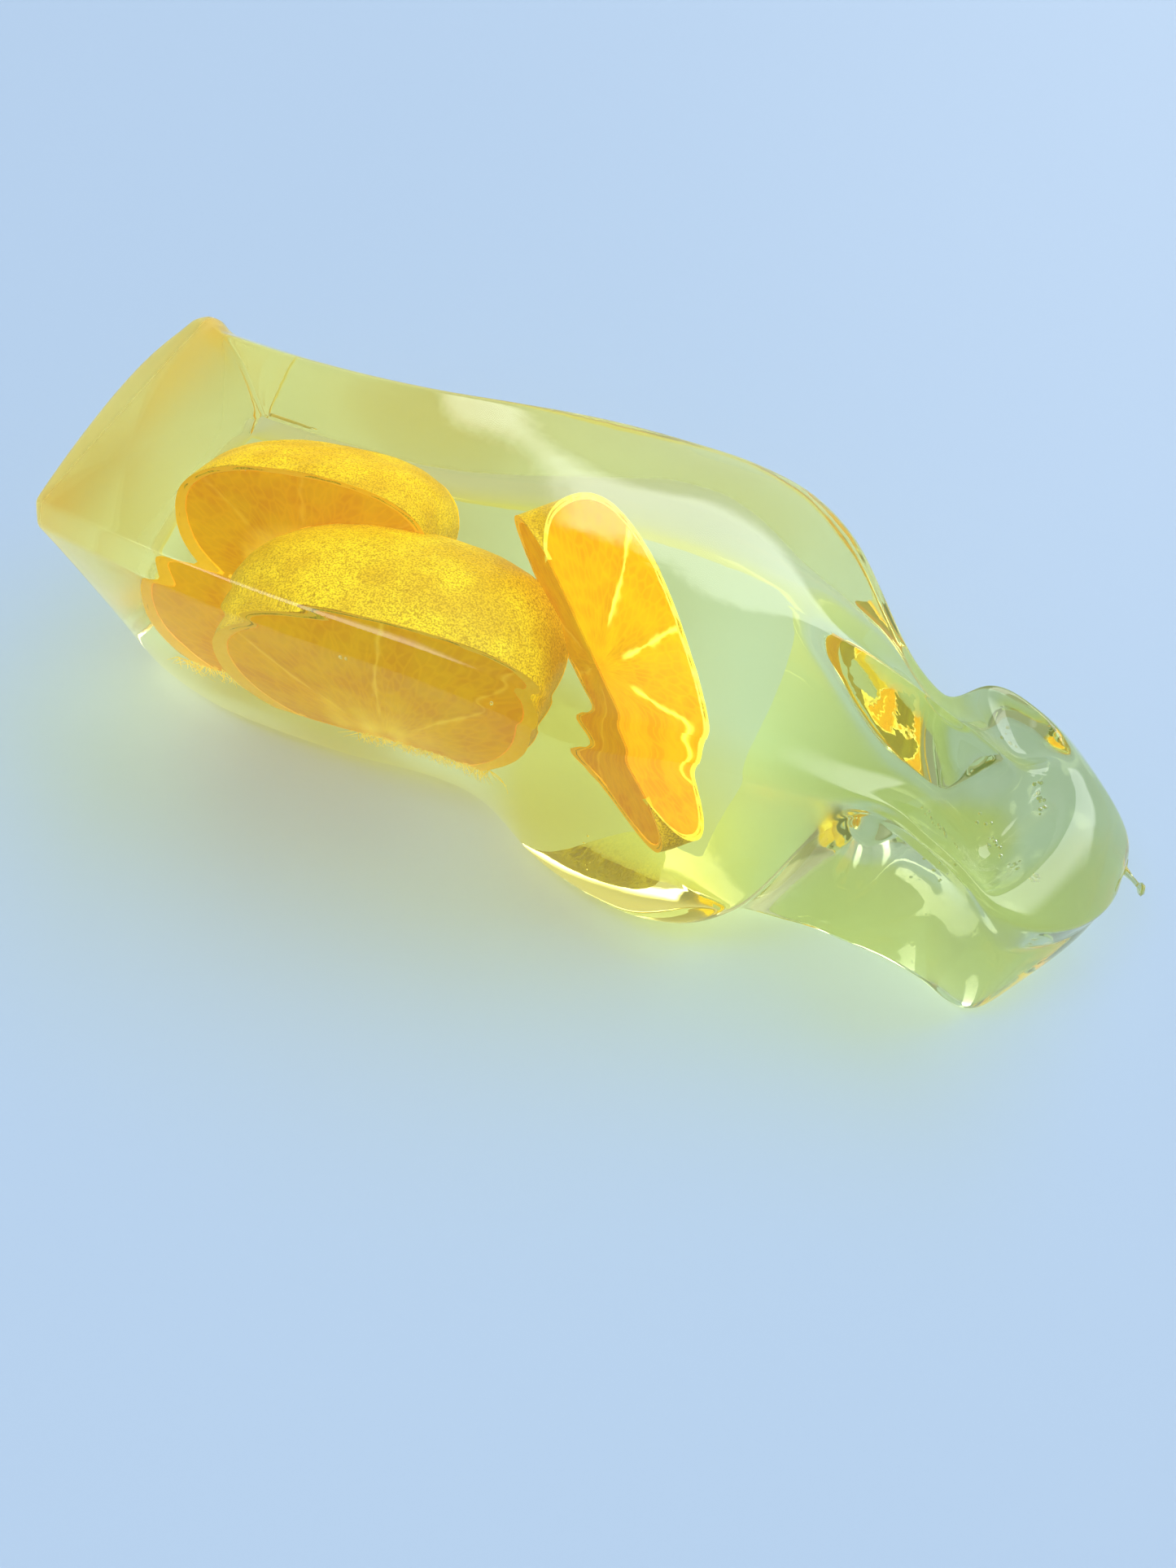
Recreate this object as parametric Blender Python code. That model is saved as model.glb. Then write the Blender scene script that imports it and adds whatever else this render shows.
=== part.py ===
"""A toy ice pop: one clear gel bar that lies on its flat side, wrung at one end.

The bar is lofted along X through cross-sections. Each section is a closed outline through six
edges that run along the bar, four of them bevelled, so every ridge of the twist is one named
curve below.
Lengths are in millimetres until the mesh is made. +Z is up and the bar's square end is at -X.
"""

import bpy
import numpy as np

MM = 0.001

# Driving dimensions of the bar before it was wrung.
WIDTH = 41.2
HEIGHT = 36.0
SQUARE_END_X = -78.0
DOME_START_X = 50.0
DOME_LENGTH = 16.3
DOME_MIDDLE = (23.0, 11.5)
DOME_ROUNDNESS = 0.46

# The square end stands out at its middle, most of all towards the back, and its foot is set in.
END_BULGE = 2.6
END_CROWN = 2.0
END_SKEW = 0.6
END_LEAN = 4.6
CROWN_REACH = 14.0
END_ROUND = 0.9

# Near the square end the front is drawn in, most at its foot: by how much, and over what length.
FRONT_TUCK = 3.0
TUCK_REACH = 20.0

# The thread that the mould left at the tip of the dome: how far it goes in x, y and z, and its radius at
# shares of that, from its foot to the bead at its end.
THREAD = (3.2, -2.6, 0.6)
THREAD_RADIUS = 0.35
BEAD_RADIUS = 0.75
THREAD_PROFILE = [
    (0.02, 4.0 * THREAD_RADIUS), (0.12, 1.7 * THREAD_RADIUS), (0.4, THREAD_RADIUS), (0.7, THREAD_RADIUS),
    (0.8, BEAD_RADIUS), (0.93, BEAD_RADIUS), (0.99, THREAD_RADIUS),
]

# The low lump that the mould left on the top back edge, near the square end: centre x, length and height.
LUMP = (-77.0, 2.4, 1.4)
LUMP_RADIUS = 2.2
LUMP_INSET = 1.4

# How finely the surface is cut: the ring spacing up to each x, and the points on each face and bevel.
RING_STEPS = [(-20.0, 3.2), (18.0, 1.7), (57.0, 1.0)]
POINTS_PER_FACE = 7
POINTS_PER_BEVEL = 3
CAP_RINGS = 4
DOME_RINGS = 12

# The six edges, in order round the section: x, y and z of the points that each one needs.
# Front is -Y. WIDTH and HEIGHT set the square end; the rest is the shape the wringing leaves.
FRONT_Y = -4.8
BACK_Y = FRONT_Y + WIDTH
MIDDLE_Y = FRONT_Y + WIDTH / 2
EDGES = {
    "top_ridge": [
        (SQUARE_END_X, MIDDLE_Y, HEIGHT + 0.2), (-45, 17, HEIGHT + 0.5), (-15, 20, 37.5), (5, 24, 36.5),
        (15, 25.5, 35.5), (22, 24.5, 34.5), (32, 23, 33), (38, 22.5, 31), (44, 23.5, 27), (49, 26, 22.5),
        (53, 27, 21.5), (57, 26, 22.5), (68, 24, 22),
    ],
    "front_top": [
        (SQUARE_END_X, FRONT_Y, HEIGHT), (-46, FRONT_Y, HEIGHT), (-34, -4.2, HEIGHT), (-24, -3.5, 35.9),
        (-12, -2.7, 35.4), (0, -1.6, 34.5), (13, 3.4, 32), (22, 5.5, 30), (31, 7.5, 28),
        (36, 9, 26.5), (41, 8, 25), (47, 6, 24.5), (50, 4, 24), (54, 3, 23.5), (68, 2, 23),
    ],
    "front_bottom": [
        (SQUARE_END_X, FRONT_Y + 1.3, 0), (-52, -4.5, 0), (-40, -3.5, 0), (-16, -1.2, 0), (-5, -6.8, 2),
        (5, -9.2, 4), (13, -9.4, 6), (21, -6.5, 10), (25, -2.5, 14), (28, 4, 20), (31, 7, 24),
        (36, 8, 25), (41, 7, 24), (47, 5, 23), (50, 3.2, 22), (54, 1.8, 18), (60, 3, 16), (68, 4, 15),
    ],
    "under": [
        (SQUARE_END_X, MIDDLE_Y, 0), (-20, 16, 0), (5, 8, 0), (15, 3, 0), (25, 0.8, 0), (35, 2.5, 0),
        (44, 2.2, 0), (51, 1.2, 0), (54.7, -0.7, 0), (56.8, -1.7, 0), (58.2, -0.2, 0), (61, 2.4, 0),
        (68, 6, 0),
    ],
    "back_bottom": [
        (SQUARE_END_X, BACK_Y, 0), (-60, BACK_Y + 1, 0), (-40, 39, 0), (-20, 44.5, 0), (0, 46.5, 0),
        (12, 43, 0), (22, 37, 1), (30, 29, 2), (36, 28, 2), (40, 34, 3), (44, 38, 4), (50, 39, 5),
        (58, 36.5, 5), (68, 33, 5),
    ],
    "back_top": [
        (SQUARE_END_X, BACK_Y, HEIGHT), (-60, BACK_Y + 1, HEIGHT), (-40, 40.9, 35.5), (-31, 44.3, 34),
        (-20, 47.7, 32.5), (-8, 50.4, 30.5), (2, 50.8, 30), (11, 49.1, 29.5), (19, 44, 29),
        (24.5, 38, 28.5), (28, 34, 28), (31, 31, 27.5), (35, 29, 26), (38, 30.5, 22.5), (40.5, 37, 19),
        (43, 39, 17.8), (48, 38, 17.8), (53, 35.7, 17.8), (60, 31.5, 18), (68, 28, 18),
    ],
}

# Bevels of the long edges: x and how far from the edge the bevel starts on either face.
BEVELS = {
    "front_top": [(SQUARE_END_X, 2.6), (-15, 2.6), (5, 2.4), (18, 1.4), (30, 0.8), (68, 0.8)],
    "front_bottom": [(SQUARE_END_X, 2.9), (-25, 2.9), (-5, 2.0), (15, 1.0), (68, 0.8)],
    "back_bottom": [(SQUARE_END_X, 2.9), (-30, 2.9), (0, 2.0), (20, 1.0), (68, 1.0)],
    "back_top": [(SQUARE_END_X, 2.9), (-25, 2.6), (0, 1.6), (20, 1.0), (68, 1.0)],
}

# Edge radius along the bar, x and millimetres: small where the edge is crisp, large where it fades.
RADII = {
    "top_ridge": [(SQUARE_END_X, 12), (-10, 12), (12, 6), (22, 2), (45, 2), (56, 5)],
    "front_top": [(SQUARE_END_X, 0.6), (0, 0.8), (20, 1.6), (50, 1.6), (58, 5)],
    "front_bottom": [(SQUARE_END_X, 0.6), (-20, 1.0), (0, 4), (20, 2), (30, 1), (48, 1.4), (54, 5)],
    "under": [(SQUARE_END_X, 12), (0, 12), (20, 3), (30, 1.2), (55, 1.2), (62, 6)],
    "back_bottom": [(SQUARE_END_X, 0.6), (-30, 1.2), (0, 3), (30, 3), (45, 3), (60, 8)],
    "back_top": [(SQUARE_END_X, 0.6), (-30, 0.8), (20, 1.2), (35, 1.8), (50, 2), (60, 8)],
}

# How far each face stands out (or, below 0, in) at its middle. Each is named after the edge it starts from.
BULGES = {
    "top_ridge": [
        (SQUARE_END_X, 0.2), (-10, 0.8), (15, 0), (30, -1.8), (38, -4), (46, -8), (51, -8), (56, 0.5),
    ],
    "front_top": [(SQUARE_END_X, 0.8), (0, 1.0), (20, -1.0), (30, 0), (68, 0)],
    "front_bottom": [(SQUARE_END_X, 0), (0, 1), (25, 0), (40, -1.5), (52, 0), (58, 1.5)],
    "under": [(SQUARE_END_X, 0), (68, 0)],
    "back_bottom": [(SQUARE_END_X, 0.8), (-30, 2), (0, 3), (30, 1), (40, 1), (68, 3)],
    "back_top": [(SQUARE_END_X, 0.2), (-20, 0.8), (0, 2), (20, 0), (32, -1), (42, -3), (51, -4), (56, 1)],
}

# The rim of the hollow bows towards the dome: it lies further along at RIM_MIDDLE_Y than beside it.
RIM_BOW = 0.018
RIM_MIDDLE_Y = 22.0
RIM_BOW_X = 20.0

# A corner is rounded by an average over this many radii to either side, and no radius is more than
# this share of the shorter face beside it.
ROUNDING_REACH = 1.6
ROUNDING_SAMPLES = 17
CORNER_SHARE = 0.45
CURVE_SOFTNESS = 1.2
GRID_STEP = 0.25
GRID = np.arange(SQUARE_END_X - 20, 90, GRID_STEP)


def curve_values(xs, values):
    """One smooth curve through the values, sampled along GRID."""
    xs, values = np.array(xs, float), np.array(values, float)
    slopes = np.gradient(values, xs)
    k = np.clip(np.searchsorted(xs, GRID) - 1, 0, len(xs) - 2)
    span = xs[k + 1] - xs[k]
    t = np.clip((GRID - xs[k]) / span, 0, 1)
    start = values[k] * (1 + 2 * t) * (1 - t) ** 2 + slopes[k] * span * t * (1 - t) ** 2
    end = values[k + 1] * (3 - 2 * t) * t**2 - slopes[k + 1] * span * (1 - t) * t**2
    reach = np.arange(-4 * CURVE_SOFTNESS, 4 * CURVE_SOFTNESS + GRID_STEP / 2, GRID_STEP)
    weights = np.exp(-0.5 * (reach / CURVE_SOFTNESS) ** 2)
    padded = np.pad(start + end, len(reach) // 2, mode="edge")
    return np.convolve(padded, weights / weights.sum(), mode="valid")


def curve(points, column):
    """A function of x that follows one column of the points."""
    table = np.array(points, float)
    values = curve_values(table[:, 0], table[:, column])
    return lambda x: np.interp(x, GRID, values)


NAMES = list(EDGES)
EDGE_Y = {name: curve(EDGES[name], 1) for name in NAMES}
EDGE_Z = {name: curve(EDGES[name], 2) for name in NAMES}
BEVEL = {name: curve(BEVELS[name], 1) for name in BEVELS}
RADIUS = {name: curve(RADII[name], 1) for name in NAMES}
BULGE = {name: curve(BULGES[name], 1) for name in NAMES}

# The corners of a section, in order: the edge that each belongs to, and on which side of its bevel it is.
CORNERS = [(name, side) for name in NAMES for side in ((-1, 1) if name in BEVELS else (0,))]


def corners_at(x):
    """The corners of the section at x, in y and z."""
    edges = {name: np.array([EDGE_Y[name](x), EDGE_Z[name](x)]) for name in NAMES}
    corners = []
    for name, side in CORNERS:
        corner = edges[name]
        if side:
            way = edges[NAMES[(NAMES.index(name) + side) % len(NAMES)]] - corner
            corner = corner + way / np.linalg.norm(way) * BEVEL[name](x)
        corners.append(corner)
    return np.array(corners)


def bulge_at(x, face):
    """How far the faces stand out at x; a bevel, which runs on from its first corner, is flat."""
    values = [np.zeros_like(x) if side < 0 else BULGE[name](x) for name, side in CORNERS]
    return np.choose(face, values)


def section(x, u):
    """A closed outline at x, with rounded corners: a point for each u, whose whole numbers are corners."""
    corners = corners_at(x)
    steps = np.roll(corners, -1, axis=0) - corners
    lengths = np.linalg.norm(steps, axis=1)
    starts = np.cumsum(lengths) - lengths
    outward = np.stack([steps[:, 1], -steps[:, 0]], axis=-1) / lengths[:, None]
    most = CORNER_SHARE * np.minimum(lengths, np.roll(lengths, 1))
    radii = np.minimum([RADIUS[name](x) for name, side in CORNERS], most)
    face = np.floor(u).astype(int)
    share = u % 1.0
    blend = share * share * (3 - 2 * share)
    radius = radii[face] * (1 - blend) + radii[(face + 1) % len(CORNERS)] * blend
    offsets = np.linspace(-ROUNDING_REACH, ROUNDING_REACH, ROUNDING_SAMPLES)
    weights = np.exp(-offsets**2)
    weights /= weights.sum()
    around = starts[face] + share * lengths[face]
    around = (around[:, None] + radius[:, None] * offsets[None, :]) % lengths.sum()
    face = np.searchsorted(starts, around, side="right") - 1
    share = ((around - starts[face]) / lengths[face])[..., None]
    flat = corners[face] + share * steps[face]
    bowed = x + RIM_BOW * (flat[..., 0] - RIM_MIDDLE_Y) ** 2 * np.clip((x - RIM_BOW_X) / RIM_BOW_X, 0, 1)
    points = flat + outward[face] * bulge_at(bowed, face)[..., None] * 4 * share * (1 - share)
    return (points * weights[None, :, None]).sum(axis=1)


def round_positions(fineness):
    """Positions round the section, closer together near the corners."""
    positions = []
    for k, (name, side) in enumerate(CORNERS):
        count = (POINTS_PER_BEVEL if side < 0 else POINTS_PER_FACE) * fineness
        positions.append(k + (1 - np.cos(np.pi * np.arange(count) / count)) / 2)
    return np.concatenate(positions)


def square_end(u, cap_rings):
    """Rings of the square end, from its middle out over its rounded rim."""
    first = section(SQUARE_END_X, u)
    middle = (first.min(axis=0) + first.max(axis=0)) / 2
    rings = []
    for share in np.linspace(0.15, 0.93, cap_rings):
        rings.append((SQUARE_END_X - END_BULGE * (1 - share**2), middle + (first - middle) * share))
    for angle in (0, np.pi / 6, np.pi / 3):
        share = 1 - END_ROUND * (1 - np.sin(angle)) / (WIDTH / 2)
        rings.append((SQUARE_END_X + END_ROUND * (1 - np.cos(angle)), middle + (first - middle) * share))
    return rings, (SQUARE_END_X - END_BULGE, middle[0], middle[1])


def dome(u, dome_rings):
    """Rings of the rounded end, which close towards its middle, and those of the thread beyond it."""
    rings = []
    for angle in np.linspace(0, np.pi / 2, dome_rings + 2)[1:-1]:
        x = DOME_START_X + DOME_LENGTH * np.sin(angle)
        if x > RING_STEPS[-1][0]:
            rings.append((x, closed_section(x, u)))
    centre = np.array(DOME_MIDDLE)
    circle = section(DOME_START_X, u) - centre
    circle /= np.linalg.norm(circle, axis=1, keepdims=True)
    tip_x = DOME_START_X + DOME_LENGTH
    for share, radius in THREAD_PROFILE:
        off = centre + share * np.array(THREAD[1:])
        rings.append((tip_x + share * THREAD[0], off + circle * radius))
    return rings, (tip_x + THREAD[0], *(centre + np.array(THREAD[1:])))


def closed_section(x, u):
    """The section at x, drawn in towards the dome's middle: not before the dome, and wholly at its tip."""
    along = np.clip((x - DOME_START_X) / DOME_LENGTH, 0, 1)
    middle = np.array(DOME_MIDDLE)
    return middle + (section(x, u) - middle) * (1 - along**2) ** DOME_ROUNDNESS


def rings_of(fineness):
    """All the section outlines as (ring, point, xyz), from the square end's middle to the thread's end."""
    u = round_positions(fineness)
    rings, heel = square_end(u, CAP_RINGS * fineness)
    start = SQUARE_END_X + END_ROUND
    for end, step in RING_STEPS:
        for x in np.arange(start, end - step / 4 / fineness, step / fineness):
            rings.append((x, closed_section(x, u)))
        start = end
    rings.append((start, closed_section(start, u)))
    last, tip = dome(u, DOME_RINGS * fineness)
    full = np.array([np.column_stack([np.full(len(u), x), flat]) for x, flat in rings + last])
    return full, np.array(heel), np.array(tip)


def crowned(points):
    """The points near the square end, moved out so that its edges bow."""
    fade = np.clip(1 - (points[..., 0] - SQUARE_END_X) / CROWN_REACH, 0, 1) ** 2
    across = np.clip((points[..., 1] - MIDDLE_Y) / (WIDTH / 2), -1, 1)
    near_end = np.clip(1 - (points[..., 0] - SQUARE_END_X) / TUCK_REACH, 0, 1) ** 1.5
    tuck = near_end * np.clip(-across, 0, 1) ** 3
    points[..., 0] -= END_CROWN * (1 - across**2) * (1 + END_SKEW * across) * fade
    points[..., 0] += END_LEAN * (1 - points[..., 2] / HEIGHT) * fade
    points[..., 1] += FRONT_TUCK * tuck * (1 - (points[..., 2] / HEIGHT) ** 3)


def lumped(points):
    """The points of the top back edge near the square end, raised into the mould's lump."""
    x, length, height = LUMP
    off_edge = (points[..., 1] - BACK_Y + LUMP_INSET) ** 2 + (points[..., 2] - HEIGHT + LUMP_INSET) ** 2
    near = np.exp(-(((points[..., 0] - x) / length) ** 4) - off_edge / LUMP_RADIUS**2)
    points[..., 1] += height * near
    points[..., 2] += height * 0.4 * near


def gel_mesh(name, fineness):
    """The closed loft: quads between rings and a fan at each end."""
    rings, heel, tip = rings_of(fineness)
    n_rings, n_points, _ = rings.shape
    points = np.vstack([rings.reshape(-1, 3), heel, tip])
    points[:, 2] = np.maximum(points[:, 2], 0)
    crowned(points)
    lumped(points)
    low, high = points.min(axis=0), points.max(axis=0)
    points -= [(low[0] + high[0]) / 2, (low[1] + high[1]) / 2, low[2]]
    faces = []
    for i in range(n_rings - 1):
        for j in range(n_points):
            k = (j + 1) % n_points
            here, after = i * n_points, (i + 1) * n_points
            faces.append((here + j, here + k, after + k, after + j))
    heel_index, tip_index = n_rings * n_points, n_rings * n_points + 1
    last = (n_rings - 1) * n_points
    for j in range(n_points):
        k = (j + 1) % n_points
        faces.append((heel_index, k, j))
        faces.append((tip_index, last + j, last + k))
    mesh = bpy.data.meshes.new(name)
    mesh.from_pydata((points * MM).tolist(), [], faces)
    mesh.validate()
    return mesh


def gel_material():
    """Clear lime-yellow gel."""
    material = bpy.data.materials.new("clear_gel")
    material.use_nodes = True
    shader = material.node_tree.nodes["Principled BSDF"]
    shader.inputs["Base Color"].default_value = (0.78, 0.83, 0.30, 1)
    shader.inputs["Roughness"].default_value = 0.04
    shader.inputs["Transmission Weight"].default_value = 0.9
    return material


def main():
    for old in list(bpy.data.objects):
        bpy.data.objects.remove(old)
    mesh = gel_mesh("gel_bar", 1)
    mesh.materials.append(gel_material())
    mesh.shade_smooth()
    mesh.set_sharp_from_angle(angle=0.9)
    bar = bpy.data.objects.new("gel_bar", mesh)
    bpy.context.scene.collection.objects.link(bar)


main()
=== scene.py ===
"""The looks of a toy ice pop: a clear lime gel bar, wrung at one end, with three citrus wedges cast in it.

Shapes are worked out in millimetres, in the frame the bar was drawn in, and moved to the part's own frame
by FRAME_MIDDLE when they become meshes. +Z is up and the bar's square end is at -X.
"""

import math

import bpy
import numpy as np
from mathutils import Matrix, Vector


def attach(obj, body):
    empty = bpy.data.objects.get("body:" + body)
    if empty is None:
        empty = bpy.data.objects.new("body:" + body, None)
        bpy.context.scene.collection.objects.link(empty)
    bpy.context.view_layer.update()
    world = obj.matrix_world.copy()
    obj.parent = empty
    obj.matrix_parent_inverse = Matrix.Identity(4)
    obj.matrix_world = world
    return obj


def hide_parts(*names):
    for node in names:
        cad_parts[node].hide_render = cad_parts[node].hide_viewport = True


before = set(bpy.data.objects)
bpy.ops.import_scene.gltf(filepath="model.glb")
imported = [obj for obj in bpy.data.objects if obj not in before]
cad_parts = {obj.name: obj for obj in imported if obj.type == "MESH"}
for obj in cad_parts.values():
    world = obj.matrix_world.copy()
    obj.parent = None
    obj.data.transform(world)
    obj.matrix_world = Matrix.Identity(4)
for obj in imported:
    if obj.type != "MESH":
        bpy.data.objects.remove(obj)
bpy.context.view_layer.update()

MM = 0.001
FRAME_MIDDLE = np.array([-5.74326, 21.55905, 0.0])

# The camera stands over the front of the bar, turned towards its right.
CAMERA_PLACE = (32.2, -66.0, 157.0)
CAMERA_AIM = (0.0, 0.0, 19.0)
CAMERA_LENS = 28.02

# The bar, as in the part's own source: driving dimensions before it was wrung.
WIDTH = 41.2
HEIGHT = 36.0
SQUARE_END_X = -78.0
DOME_START_X = 50.0
DOME_LENGTH = 16.3
DOME_MIDDLE = (23.0, 11.5)
DOME_ROUNDNESS = 0.46

# The square end stands out at its middle, most of all towards the back, and its foot is set in.
END_BULGE = 2.6
END_CROWN = 2.0
END_SKEW = 0.6
END_LEAN = 4.6
CROWN_REACH = 14.0
END_ROUND = 0.9

# Near the square end the front is drawn in, most at its foot: by how much, and over what length.
FRONT_TUCK = 3.0
TUCK_REACH = 20.0

# The thread that the mould left at the tip of the dome: how far it goes in x, y and z, and its radius at
# shares of that, from its foot to the bead at its end.
THREAD = (3.2, -2.6, 0.6)
THREAD_RADIUS = 0.35
BEAD_RADIUS = 0.75
THREAD_PROFILE = [
    (0.02, 4.0 * THREAD_RADIUS), (0.12, 1.7 * THREAD_RADIUS), (0.4, THREAD_RADIUS), (0.7, THREAD_RADIUS),
    (0.8, BEAD_RADIUS), (0.93, BEAD_RADIUS), (0.99, THREAD_RADIUS),
]

# The low lump that the mould left on the top back edge, near the square end: centre x, length and height.
LUMP = (-77.0, 2.4, 1.4)
LUMP_RADIUS = 2.2
LUMP_INSET = 1.4

# How finely the surface is cut: the ring spacing up to each x, and the points on each face and bevel. FINENESS
# multiplies them all.
FINENESS = 4
RING_STEPS = [(-20.0, 3.2), (18.0, 1.7), (57.0, 1.0)]
POINTS_PER_FACE = 7
POINTS_PER_BEVEL = 3
CAP_RINGS = 4
DOME_RINGS = 12

# The six edges, in order round the section: x, y and z of the points that each one needs.
# Front is -Y. WIDTH and HEIGHT set the square end; the rest is the shape the wringing leaves.
FRONT_Y = -4.8
BACK_Y = FRONT_Y + WIDTH
MIDDLE_Y = FRONT_Y + WIDTH / 2
EDGES = {
    "top_ridge": [
        (SQUARE_END_X, MIDDLE_Y, HEIGHT + 0.2), (-45, 17, HEIGHT + 0.5), (-15, 20, 37.5), (5, 24, 36.5),
        (15, 25.5, 35.5), (22, 24.5, 34.5), (32, 23, 33), (38, 22.5, 31), (44, 23.5, 27), (49, 26, 22.5),
        (53, 27, 21.5), (57, 26, 22.5), (68, 24, 22),
    ],
    "front_top": [
        (SQUARE_END_X, FRONT_Y, HEIGHT), (-46, FRONT_Y, HEIGHT), (-34, -4.2, HEIGHT), (-24, -3.5, 35.9),
        (-12, -2.7, 35.4), (0, -1.6, 34.5), (13, 3.4, 32), (22, 5.5, 30), (31, 7.5, 28),
        (36, 9, 26.5), (41, 8, 25), (47, 6, 24.5), (50, 4, 24), (54, 3, 23.5), (68, 2, 23),
    ],
    "front_bottom": [
        (SQUARE_END_X, FRONT_Y + 1.3, 0), (-52, -4.5, 0), (-40, -3.5, 0), (-16, -1.2, 0), (-5, -6.8, 2),
        (5, -9.2, 4), (13, -9.4, 6), (21, -6.5, 10), (25, -2.5, 14), (28, 4, 20), (31, 7, 24),
        (36, 8, 25), (41, 7, 24), (47, 5, 23), (50, 3.2, 22), (54, 1.8, 18), (60, 3, 16), (68, 4, 15),
    ],
    "under": [
        (SQUARE_END_X, MIDDLE_Y, 0), (-20, 16, 0), (5, 8, 0), (15, 3, 0), (25, 0.8, 0), (35, 2.5, 0),
        (44, 2.2, 0), (51, 1.2, 0), (54.7, -0.7, 0), (56.8, -1.7, 0), (58.2, -0.2, 0), (61, 2.4, 0),
        (68, 6, 0),
    ],
    "back_bottom": [
        (SQUARE_END_X, BACK_Y, 0), (-60, BACK_Y + 1, 0), (-40, 39, 0), (-20, 44.5, 0), (0, 46.5, 0),
        (12, 43, 0), (22, 37, 1), (30, 29, 2), (36, 28, 2), (40, 34, 3), (44, 38, 4), (50, 39, 5),
        (58, 36.5, 5), (68, 33, 5),
    ],
    "back_top": [
        (SQUARE_END_X, BACK_Y, HEIGHT), (-60, BACK_Y + 1, HEIGHT), (-40, 40.9, 35.5), (-31, 44.3, 34),
        (-20, 47.7, 32.5), (-8, 50.4, 30.5), (2, 50.8, 30), (11, 49.1, 29.5), (19, 44, 29),
        (24.5, 38, 28.5), (28, 34, 28), (31, 31, 27.5), (35, 29, 26), (38, 30.5, 22.5), (40.5, 37, 19),
        (43, 39, 17.8), (48, 38, 17.8), (53, 35.7, 17.8), (60, 31.5, 18), (68, 28, 18),
    ],
}

# Bevels of the long edges: x and how far from the edge the bevel starts on either face.
BEVELS = {
    "front_top": [(SQUARE_END_X, 2.6), (-15, 2.6), (5, 2.4), (18, 1.4), (30, 0.8), (68, 0.8)],
    "front_bottom": [(SQUARE_END_X, 2.9), (-25, 2.9), (-5, 2.0), (15, 1.0), (68, 0.8)],
    "back_bottom": [(SQUARE_END_X, 2.9), (-30, 2.9), (0, 2.0), (20, 1.0), (68, 1.0)],
    "back_top": [(SQUARE_END_X, 2.9), (-25, 2.6), (0, 1.6), (20, 1.0), (68, 1.0)],
}

# Edge radius along the bar, x and millimetres: small where the edge is crisp, large where it fades.
RADII = {
    "top_ridge": [(SQUARE_END_X, 12), (-10, 12), (12, 6), (22, 2), (45, 2), (56, 5)],
    "front_top": [(SQUARE_END_X, 0.6), (0, 0.8), (20, 1.6), (50, 1.6), (58, 5)],
    "front_bottom": [(SQUARE_END_X, 0.6), (-20, 1.0), (0, 4), (20, 2), (30, 1), (48, 1.4), (54, 5)],
    "under": [(SQUARE_END_X, 12), (0, 12), (20, 3), (30, 1.2), (55, 1.2), (62, 6)],
    "back_bottom": [(SQUARE_END_X, 0.6), (-30, 1.2), (0, 3), (30, 3), (45, 3), (60, 8)],
    "back_top": [(SQUARE_END_X, 0.6), (-30, 0.8), (20, 1.2), (35, 1.8), (50, 2), (60, 8)],
}

# How far each face stands out (or, below 0, in) at its middle. Each is named after the edge it starts from.
BULGES = {
    "top_ridge": [
        (SQUARE_END_X, 0.2), (-10, 0.8), (15, 0), (30, -1.8), (38, -4), (46, -8), (51, -8), (56, 0.5),
    ],
    "front_top": [(SQUARE_END_X, 0.8), (0, 1.0), (20, -1.0), (30, 0), (68, 0)],
    "front_bottom": [(SQUARE_END_X, 0), (0, 1), (25, 0), (40, -1.5), (52, 0), (58, 1.5)],
    "under": [(SQUARE_END_X, 0), (68, 0)],
    "back_bottom": [(SQUARE_END_X, 0.8), (-30, 2), (0, 3), (30, 1), (40, 1), (68, 3)],
    "back_top": [(SQUARE_END_X, 0.2), (-20, 0.8), (0, 2), (20, 0), (32, -1), (42, -3), (51, -4), (56, 1)],
}

# The rim of the hollow bows towards the dome: it lies further along at RIM_MIDDLE_Y than beside it.
RIM_BOW = 0.018
RIM_MIDDLE_Y = 22.0
RIM_BOW_X = 20.0

# A corner is rounded by an average over this many radii to either side, and no radius is more than
# this share of the shorter face beside it.
ROUNDING_REACH = 1.6
ROUNDING_SAMPLES = 17
CORNER_SHARE = 0.45
CURVE_SOFTNESS = 1.2
GRID_STEP = 0.25
GRID = np.arange(SQUARE_END_X - 20, 90, GRID_STEP)

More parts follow.
